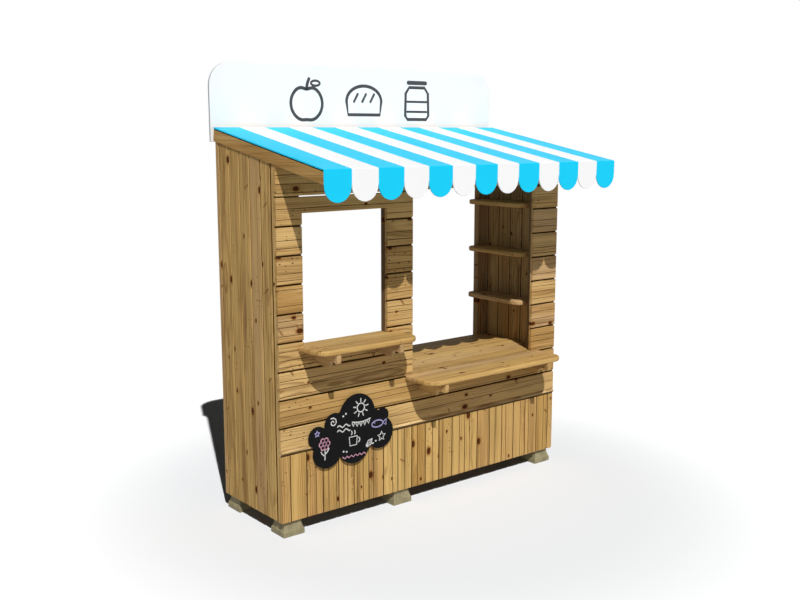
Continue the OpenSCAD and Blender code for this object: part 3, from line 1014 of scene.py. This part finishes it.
brackets = {
    "nose": 38,
    "noseEdge": [(0, 8), (3, 2), (8, 0)],  # depth from the front, height over the nose
    "cove": 29,
    "coveSteps": 12,
    "covePlace": 0.79,
    "edge": 2.2,
}
for node in ("left_counter_bracket_a", "left_counter_bracket_b", "right_counter_bracket_a",
             "right_counter_bracket_b"):
    x0, x1, front, back, low, high = span(node)
    centre = brackets["covePlace"] * (front - back) + back
    noseLow = high - brackets["nose"]
    startTurn = math.degrees(math.asin((noseLow - low) / brackets["cove"]))
    outline = [(back, high), (front, high)]
    outline += [(front + deep, noseLow + up) for deep, up in brackets["noseEdge"]]
    for i in range(brackets["coveSteps"] + 1):
        turn = math.radians((180 - startTurn) * (1 - i / brackets["coveSteps"]))
        outline.append((centre + brackets["cove"] * math.cos(turn),
                        low + brackets["cove"] * math.sin(turn)))
    outline.append((back, low))
    mesh = startMesh()
    addPlate(mesh, outline, x0, x1, "yzx", brackets["edge"], 2, sharp=40)
    tagTimber(mesh, mesh.verts[:], "yzx", node)
    finishPiece(node + "_piece", mesh, [boardWood], [node])
print("counters and shelves fitted")

# Awning: one striped sheet with a fold and a scalloped drop

awning = {
    "stripes": 13,
    "blue": rgb(0.012, 0.665, 1.000),
    "white": rgb(0.990, 0.992, 0.992),
    "blueGloss": 0.06,
    "whiteGloss": 0.75,
    "edge": 1.4,
    "foldRound": 6.0,
    "foldSteps": 5,
    "foldTurn": 80,
    "foldClear": 1.2,
    "foldLift": 4,  # depth over which the fold rises with the slope
    "scallopSteps": 28,
    "scallopGap": 1,
    "notch": (0.4, 3),  # between two scallops: half its width, height over their middles
}
sheetCoat = {
    "cloud": (5.0, 4.0, 0.6),
    "grain": (900.0, 2.0),
    "spread": (0.35, 0.7),
    "rough": 0.45,
    "roughPatch": 0.14,
    "relief": (0.0001, 0.5),
}
skyBlue = makeCoat("skyBlueSheet", (awning["blue"], dim(awning["blue"], 0.985)),
                   dict(sheetCoat, gloss=awning["blueGloss"]))
cleanWhite = makeCoat("cleanWhiteSheet", (awning["white"], dim(awning["white"], 0.985)),
                      dict(sheetCoat, gloss=awning["whiteGloss"]))
stripeWidth = (roofBox[1] - roofBox[0]) / awning["stripes"]


# Cuts a sheet at each stripe and gives every face the stripe's finish
def stripeFaces(mesh):
    for k in range(1, awning["stripes"]):
        geometry = mesh.verts[:] + mesh.edges[:] + mesh.faces[:]
        bmesh.ops.bisect_plane(mesh, geom=geometry, dist=1e-7,
                               plane_co=place(roofBox[0] + k * stripeWidth, 0, 0),
                               plane_no=(1, 0, 0))
    start = place(roofBox[0], 0, 0).x
    for face in mesh.faces:
        k = int((face.calc_center_median().x - start) / (stripeWidth * mm))
        face.material_index = min(max(k, 0), awning["stripes"] - 1) % 2


foldY = roofBox[2]
foldZ = underSheet(foldY)
backY = roofBox[3]
foldRound = awning["foldRound"]
roundZ = foldZ + sheetThick - foldRound + roofSlope * awning["foldLift"]
outline = [(foldY + awning["foldClear"], foldZ), (backY, underSheet(backY)),
           (backY, underSheet(backY) + sheetThick)]
for i in range(awning["foldSteps"] + 1):
    turn = math.radians(90 + awning["foldTurn"] * i / awning["foldSteps"])
    outline.append((foldY + foldRound + foldRound * math.cos(turn),
                    roundZ + foldRound * math.sin(turn)))
outline.append((foldY, foldZ))
mesh = startMesh()
addPlate(mesh, outline, roofBox[0], roofBox[1], "yzx", 0)
stripeFaces(mesh)
finishPiece("awning_sheet", mesh, [skyBlue, cleanWhite], ["roof_sheet"])

dropBox = span("valance")
scallopR = stripeWidth / 2 - awning["scallopGap"]
scallopZ = dropBox[4] + scallopR
notchHalf, notchUp = awning["notch"]
outline = [(roofBox[1], dropBox[5]), (roofBox[0], dropBox[5])]
for k in range(awning["stripes"]):
    left = roofBox[0] + k * stripeWidth
    outline.append((left + notchHalf, scallopZ + notchUp))
    for i in range(awning["scallopSteps"] + 1):
        turn = math.radians(180 + 180 * i / awning["scallopSteps"])
        outline.append((left + stripeWidth / 2 + scallopR * math.cos(turn),
                        scallopZ + scallopR * math.sin(turn)))
    outline.append((left + stripeWidth - notchHalf, scallopZ + notchUp))
mesh = startMesh()
addPlate(mesh, outline, dropBox[2], dropBox[3], "xzy", awning["edge"], 2, sharp=40)
stripeFaces(mesh)
finishPiece("awning_drop", mesh, [skyBlue, cleanWhite], ["valance"])
print("awning hung")

# Sign board: white panel with three plain goods pictures

signBoard = {
    "cornerRadius": 100,
    "cornerSteps": 16,
    "edge": 1.5,
    "white": (rgb(0.990, 0.980, 0.970), 0.34),  # tone and roughness
    "rim": (rgb(0.420, 0.450, 0.490), 0.45),
    "ink": (rgb(0.045, 0.045, 0.050), 0.5),
    "strokeWide": 15.0,
    "strokeThick": 0.8,
    "pictureScale": 1.4,
    "pictureMiddles": [480, 800, 1120],
    "pictureZ": 1786,
}
paintCoat = {
    "cloud": (9.0, 4.0, 0.6),
    "grain": (700.0, 2.0),
    "spread": (0.3, 0.75),
    "roughPatch": 0.12,
    "relief": (0.0001, 0.4),
}
signWhite, signRim, signInk = [
    makeCoat(name, (tone, dim(tone, 0.985)), dict(paintCoat, rough=rough))
    for name, (tone, rough) in (("signWhite", signBoard["white"]), ("signRim", signBoard["rim"]),
                                ("signInk", signBoard["ink"]))
]

box = span("sign_board")
r = signBoard["cornerRadius"]
outline = ([(box[0], box[4]), (box[1], box[4])]
           + corner(box[1] - r, box[5] - r, r, 0, signBoard["cornerSteps"])
           + corner(box[0] + r, box[5] - r, r, 90, signBoard["cornerSteps"]))
mesh = startMesh()
addPlate(mesh, outline, box[2], box[3], "xzy", signBoard["edge"], 3)
for face in mesh.faces:
    if abs(face.normal.y) < 0.5:
        face.material_index = 1
finishPiece("sign_panel", mesh, [signWhite, signRim], ["sign_board"])


# parts of a stroke's width: how far it runs on at an end, how wide it is there, and how
# wide its face is
strokes = {"runOn": 0.35, "end": 0.55, "face": 0.8}


# A painted or chalked stroke: a thin ribbon on a face at depth y, with narrowed ends
def addStroke(mesh, points, wide, y, thick, closed=False):
    path = [Vector(p) for p in points]
    if not closed:
        for end, other in ((0, 1), (-1, -2)):
            away = (path[end] - path[other]).normalized() * wide * strokes["runOn"]
            path.insert(0 if end == 0 else len(path), path[end] + away)
    count = len(path)
    sections = []
    for i, here in enumerate(path):
        before = path[i - 1] if (closed or i > 0) else here
        after = path[(i + 1) % count] if (closed or i < count - 1) else here
        way = (after - before).normalized()
        side = Vector((-way.y, way.x))
        half = wide / 2
        if not closed and i in (0, count - 1):
            half *= strokes["end"]
        narrow = half * strokes["face"]
        ring = []
        for reach, depth in ((-half, y), (half, y), (narrow, y - thick), (-narrow, y - thick)):
            spot = here + side * reach
            ring.append(mesh.verts.new(place(spot.x, depth, spot.y)))
        sections.append(ring)
    faces = []
    pairs = list(zip(sections, sections[1:]))
    if closed:
        pairs.append((sections[-1], sections[0]))
    for near, far in pairs:
        for i in range(4):
            j = (i + 1) % 4
            faces.append(mesh.faces.new((near[i], near[j], far[j], far[i])))
    if not closed:
        faces.append(mesh.faces.new(sections[0]))
        faces.append(mesh.faces.new(list(reversed(sections[-1]))))
    bmesh.ops.recalc_face_normals(mesh, faces=faces)


def ovalPath(cx, cz, rx, rz, start=0, sweep=360, steps=28):
    stop = steps if sweep == 360 else steps + 1
    return [(cx + rx * math.cos(math.radians(start + sweep * i / steps)),
             cz + rz * math.sin(math.radians(start + sweep * i / steps))) for i in range(stop)]


wide = signBoard["strokeWide"]
faceY = box[2]
thick = signBoard["strokeThick"]
mesh = startMesh()


# A stroke of a sign picture, drawn round the picture's middle
def signStroke(middle, points, part=1.0, closed=False):
    size = signBoard["pictureScale"]
    spots = [(middle + x * size, signBoard["pictureZ"] + z * size) for x, z in points]
    addStroke(mesh, spots, wide * part, faceY, thick, closed)


appleX, loafX, jarX = signBoard["pictureMiddles"]
# apple: a heart-like round with a stalk and a leaf
apple = []
for i in range(48):
    turn = 2 * math.pi * i / 48
    dip = 1 - 0.20 * math.exp(-((turn - math.pi / 2) / 0.34) ** 2)
    dip -= 0.09 * math.exp(-((turn - 1.5 * math.pi) / 0.30) ** 2)
    apple.append((60 * dip * math.cos(turn), -14 + 56 * dip * math.sin(turn)))
signStroke(appleX, apple, closed=True)
signStroke(appleX, [(0, 30), (3, 48), (10, 64)])
signStroke(appleX, ovalPath(34, 50, 17, 8, 0, 360, 16), 0.7, True)
# loaf: a domed bread with three cuts
signStroke(loafX, ovalPath(0, -4, 72, 50, 0, 180, 18) + [(-66, -48), (66, -48)], closed=True)
for shift in (-34, 0, 34):
    signStroke(loafX, [(shift - 8, -6), (shift + 8, 20)], 0.8)
# jar: round shoulders, a lid and a label band
signStroke(jarX, [(-34, 46), (-50, 26), (-52, -50), (-42, -62), (42, -62), (52, -50),
                  (50, 26), (34, 46)], closed=True)
signStroke(jarX, [(-40, 62), (40, 62)], 1.3)
signStroke(jarX, [(-44, -2), (44, -2)], 0.7)
signStroke(jarX, [(-44, -36), (44, -36)], 0.7)
finishPiece("sign_pictures", mesh, [signInk])
print("sign painted")

# Cloud board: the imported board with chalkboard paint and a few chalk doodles

chalk = {
    "wide": 5.0,
    "thick": 0.35,
    "white": rgb(0.80, 0.80, 0.78),
    "pink": rgb(0.72, 0.36, 0.48),
    "lilac": rgb(0.48, 0.44, 0.75),
}
slateCoat = {
    "stretch": (9.0, 9.0, 16.0),
    "cloud": (1.0, 5.0, 0.65),
    "grain": (1200.0, 2.0),
    "spread": (0.45, 0.8, 0.0, 0.5),
    "rough": 0.725,
    "roughPatch": 0.15,
    "gloss": 0.1,
    "relief": (0.0001, 0.5),
}
chalkCoat = {
    "cloud": (650.0, 2.0, 0.7),
    "grain": (650.0, 2.0, 0.7),
    "spread": (0.36, 0.52),
    "rough": 0.95,
    "roughPatch": 0,
    "relief": (0.0003, 0.7),
}
slate = makeCoat("chalkboardPaint", (rgb(0.0040, 0.0040, 0.0042), rgb(0.012, 0.012, 0.0125)),
                 slateCoat)
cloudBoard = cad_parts["cloud_board"]
cloudBoard.data.materials.clear()
cloudBoard.data.materials.append(slate)
chalkTones = [makeCoat(name, (dim(tone, 0.30), tone), chalkCoat) for name, tone in (
    ("chalkWhite", chalk["white"]), ("chalkPink", chalk["pink"]), ("chalkLilac", chalk["lilac"]))]
chalkY = span("cloud_board")[2]


def chalkPiece(name, drawing, tone):
    mesh = startMesh()
    for points, closed in drawing:
        addStroke(mesh, points, chalk["wide"], chalkY, chalk["thick"], closed)
    finishPiece(name, mesh, [chalkTones[tone]])


def starPath(cx, cz, r):
    return [(cx + (r if i % 2 == 0 else r * 0.45) * math.sin(math.pi * i / 5),
             cz + (r if i % 2 == 0 else r * 0.45) * math.cos(math.pi * i / 5)) for i in range(10)]


sunX, sunZ = 392, 492
sunStrokes = [(ovalPath(sunX, sunZ, 19, 19), True)]
for i in range(9):
    turn = math.radians(40 * i + 10)
    sunStrokes.append(([(sunX + 26 * math.cos(turn), sunZ + 26 * math.sin(turn)),
                        (sunX + 39 * math.cos(turn), sunZ + 39 * math.sin(turn))], False))
waves = [([(270 + 5 * i, 428 - drop + 5.5 * math.sin(i * 0.9)) for i in range(14)], False)
         for drop in (0, 20)]
fish = [(ovalPath(480, 405, 30, 15), True),
        ([(508, 405), (528, 418), (526, 392), (510, 404)], False),
        ([(464, 409), (466, 410)], False)]
plantStrokes = [
    ([(205, 300), (206, 330), (204, 352)], False),
    ([(206, 322), (220, 336), (226, 346)], False),
    ([(205, 316), (190, 328), (186, 338)], False),
    (ovalPath(204, 368, 8, 8), True),
]
for i in range(6):
    turn = math.radians(60 * i)
    petal = (204 + 18 * math.cos(turn), 368 + 18 * math.sin(turn))
    plantStrokes.append((ovalPath(*petal, 9, 9, 0, 360, 14), True))
cupStrokes = [
    ([(330, 372), (334, 334), (368, 334), (372, 372)], True),
    (ovalPath(374, 354, 11, 11, -75, 150, 10), False),
    ([(342, 382), (346, 390), (342, 398)], False),
    ([(358, 382), (362, 390), (358, 398)], False),
]
dotSpots = [(300, 316), (316, 312), (440, 330), (455, 322), (470, 330), (300, 470), (314, 478)]
dots = [(ovalPath(x, z, 2.2, 2.2, 0, 360, 8), True) for x, z in dotSpots]
garland = [([(346 + 6 * i, 436 - 7 * math.sin(math.pi * i / 16)) for i in range(17)], False)]
for i in range(5):
    flagX = 352 + 20 * i
    flagZ = 434 - 7 * math.sin(math.pi * (flagX - 346) / 96)
    garland.append(([(flagX - 6, flagZ - 3), (flagX, flagZ - 17), (flagX + 6, flagZ - 3)], False))
zigzag = [([(296 + 11 * i, 292 - 9 * (i % 2)) for i in range(12)], False)]
leaf = [([(418, 318), (430, 338), (452, 344), (446, 322), (426, 312)], True),
        ([(420, 314), (448, 340)], False)]
curl = [([(248 + (3 + 1.5 * i) * math.cos(i * 0.7), 452 + (3 + 1.5 * i) * math.sin(i * 0.7))
          for i in range(13)], False)]
chalkPiece("chalk_sun_and_waves", sunStrokes + waves + dots + garland, 0)
chalkPiece("chalk_curl_and_leaf", curl + leaf, 0)
chalkPiece("chalk_zigzag", zigzag, 1)
star = [(starPath(502, 345, 22), True)]
chalkPiece("chalk_flower_and_cup", plantStrokes[:3] + cupStrokes + star, 0)
chalkPiece("chalk_fish_and_star", fish + [(starPath(168, 418, 13), True)], 2)
chalkPiece("chalk_blossom", plantStrokes[3:], 1)
print("cloud board chalked")

# Feet: moulded blocks with an upright lip and a hollow flare

feet = {
    "lip": 22,
    "lipRound": 1.5,
    "step": 0.6,
    "inset": 11,
    "flareSteps": 8,
    "flareBend": 2.2,
    "edge": 3.0,
    "tone": rgb(0.310, 0.265, 0.142),
    "dusk": rgb(0.195, 0.165, 0.088),
}
footCoat = {
    "cloud": (26.0, 5.0, 0.65),
    "grain": (420.0, 3.0, 0.6),
    "spread": (0.35, 0.7),
    "fleck": rgb(0.47, 0.42, 0.25),
    "fleckSpread": (0.45, 0.75, 0.0, 0.3),
    "rough": 0.7,
    "roughPatch": 0.2,
    "relief": (0.0006, 0.6),
}
blockFinish = makeCoat("footBlocks", (feet["tone"], feet["dusk"]), footCoat)

for node in ("foot_front_left", "foot_front_mid", "foot_front_right", "foot_back_left",
             "foot_back_mid", "foot_back_right"):
    x0, x1, y0, y1, ground, high = span(node)
    lip = feet["lip"]
    step = feet["step"]
    levels = [(ground, feet["lipRound"]), (feet["lipRound"], 0), (lip - feet["lipRound"], 0),
              (lip, step)]
    for i in range(1, feet["flareSteps"] + 1):
        part = i / feet["flareSteps"]
        flare = 1 - (1 - part) ** feet["flareBend"]
        levels.append((lip + (high - lip) * part, step + (feet["inset"] - step) * flare))
    mesh = startMesh()
    rings = []
    for z, inset in levels:
        outline = batten(x0 + inset, x1 - inset, y0 + inset, y1 - inset, feet["edge"], 4)
        rings.append([mesh.verts.new(place(x, y, z)) for x, y in outline])
    skinRings(mesh, rings)
    finishPiece(node + "_block", mesh, [blockFinish], [node])
print("feet placed")

# Floor, light and camera

studio = {
    "sunWay": (0.46, 1.0, -1.223),
    "sunPower": 3.3,
    "sunAngle": 0.6,
    "skyPower": 0.02,
    "bandPower": 0.65,
    "bandWay": (-0.6, -0.8, 0.0),
    "bandHigh": 0.24,
    "bandFade": (0.6, 1.2),  # parts of its height between which it fades out
    "bandEdge": (-0.1, 0.5),
    "backPower": 0.10,
    "floorHalf": 60,
    "floorPale": (0.9, 2.0),  # metres from the stall between which the floor turns paler
    "floorFade": (1.9, 4.0),  # and between which it turns into the backdrop
    "floorNear": (0.538, 0.544, 0.550),
    "floorFar": (0.720, 0.721, 0.722),
    "floorSunPower": 3.1,
    "floorShade": 0.30,
    "cameraPlace": (-2.8544, -3.3935, 1.6542),
    "cameraTurn": (80.30, 0.0, -38.91),
    "lens": 45.04,
}


def mixShaders(tree, amount, first, second):
    node = tree.nodes.new("ShaderNodeMixShader")
    feed(tree, node.inputs[0], amount)
    tree.links.new(first, node.inputs[1])
    tree.links.new(second, node.inputs[2])
    return node.outputs[0]


# True for rays that see the backdrop: from the camera, in a gloss or through glass
def seenRays(tree):
    path = tree.nodes.new("ShaderNodeLightPath")
    seen = calc(tree, "ADD", path.outputs["Is Camera Ray"], path.outputs["Is Glossy Ray"],
                clamp=True)
    return calc(tree, "ADD", seen, path.outputs["Is Transmission Ray"], clamp=True)


floorMesh = bmesh.new()
bmesh.ops.create_grid(floorMesh, x_segments=8, y_segments=8, size=studio["floorHalf"])
floorData = bpy.data.meshes.new("floor")
floorMesh.to_mesh(floorData)
floorMesh.free()
floor = bpy.data.objects.new("floor", floorData)
bpy.context.scene.collection.objects.link(floor)
paper = bpy.data.materials.new("studioFloor")
paper.use_nodes = True
tree = paper.node_tree
tree.nodes.clear()
out = tree.nodes.new("ShaderNodeOutputMaterial")
pale = tree.nodes.new("ShaderNodeBsdfDiffuse")
dark = tree.nodes.new("ShaderNodeBsdfDiffuse")
dark.inputs[0].default_value = rgb(*(studio["floorShade"],) * 3)
glow = tree.nodes.new("ShaderNodeEmission")
glow.inputs[0].default_value = rgb(1, 1, 1)
glow.inputs[1].default_value = 1.0
coords = tree.nodes.new("ShaderNodeTexCoord")
far = tree.nodes.new("ShaderNodeVectorMath")
far.operation = "LENGTH"
tree.links.new(coords.outputs["Object"], far.inputs[0])
nearMix = ramp(tree, far.outputs["Value"], *studio["floorPale"])
tree.links.new(blendColour(tree, nearMix, rgb(*studio["floorNear"]), rgb(*studio["floorFar"])),
               pale.inputs[0])
away = ramp(tree, far.outputs["Value"], *studio["floorFade"])
seenFloor = mixShaders(tree, away, pale.outputs[0], glow.outputs[0])
tree.links.new(mixShaders(tree, seenRays(tree), dark.outputs[0], seenFloor), out.inputs[0])
floorData.materials.append(paper)

world = bpy.data.worlds.new("softSky")
bpy.context.scene.world = world
world.use_nodes = True
tree = world.node_tree
tree.nodes.clear()
out = tree.nodes.new("ShaderNodeOutputWorld")
sky = tree.nodes.new("ShaderNodeBackground")
sky.inputs[0].default_value = rgb(1, 1, 1)
# a soft low light from the camera's side, as from a wide pale wall
coords = tree.nodes.new("ShaderNodeTexCoord")
height = split(tree, coords.outputs["Generated"])[2]
facing = tree.nodes.new("ShaderNodeVectorMath")
facing.operation = "DOT_PRODUCT"
tree.links.new(coords.outputs["Generated"], facing.inputs[0])
facing.inputs[1].default_value = studio["bandWay"]
fadeLow, fadeHigh = [studio["bandHigh"] * part for part in studio["bandFade"]]
low = ramp(tree, height, fadeLow, fadeHigh, 1.0, 0.0)
turned = ramp(tree, facing.outputs["Value"], *studio["bandEdge"], studio["backPower"],
              studio["bandPower"])
band = calc(tree, "MULTIPLY", turned, low)
tree.links.new(calc(tree, "ADD", band, studio["skyPower"]), sky.inputs[1])
backdrop = tree.nodes.new("ShaderNodeBackground")
backdrop.inputs[0].default_value = rgb(1, 1, 1)
backdrop.inputs[1].default_value = 1.0
seenSky = mixShaders(tree, seenRays(tree), sky.outputs[0], backdrop.outputs[0])
tree.links.new(seenSky, out.inputs[0])


def addSun(name, power):
    data = bpy.data.lights.new(name, "SUN")
    data.energy = power
    data.angle = math.radians(studio["sunAngle"])
    lamp = bpy.data.objects.new(name, data)
    lamp.rotation_euler = Vector(studio["sunWay"]).to_track_quat("-Z", "Y").to_euler()
    bpy.context.scene.collection.objects.link(lamp)
    return lamp


addSun("sun", studio["sunPower"])
# a second lamp from the same place that only the floor receives, for a deep shadow there
floorSun = addSun("floorSun", studio["floorSunPower"])
floorOnly = bpy.data.collections.new("floorOnly")
floorOnly.objects.link(floor)
floorSun.light_linking.receiver_collection = floorOnly

cameraData = bpy.data.cameras.new("camera")
cameraData.lens = studio["lens"]
cameraData.sensor_width = 36.0
camera = bpy.data.objects.new("camera", cameraData)
camera.location = studio["cameraPlace"]
camera.rotation_euler = [math.radians(a) for a in studio["cameraTurn"]]
bpy.context.scene.collection.objects.link(camera)
bpy.context.scene.camera = camera
bpy.context.scene.view_settings.view_transform = "Standard"
print("studio lit")

bpy.context.view_layer.update()
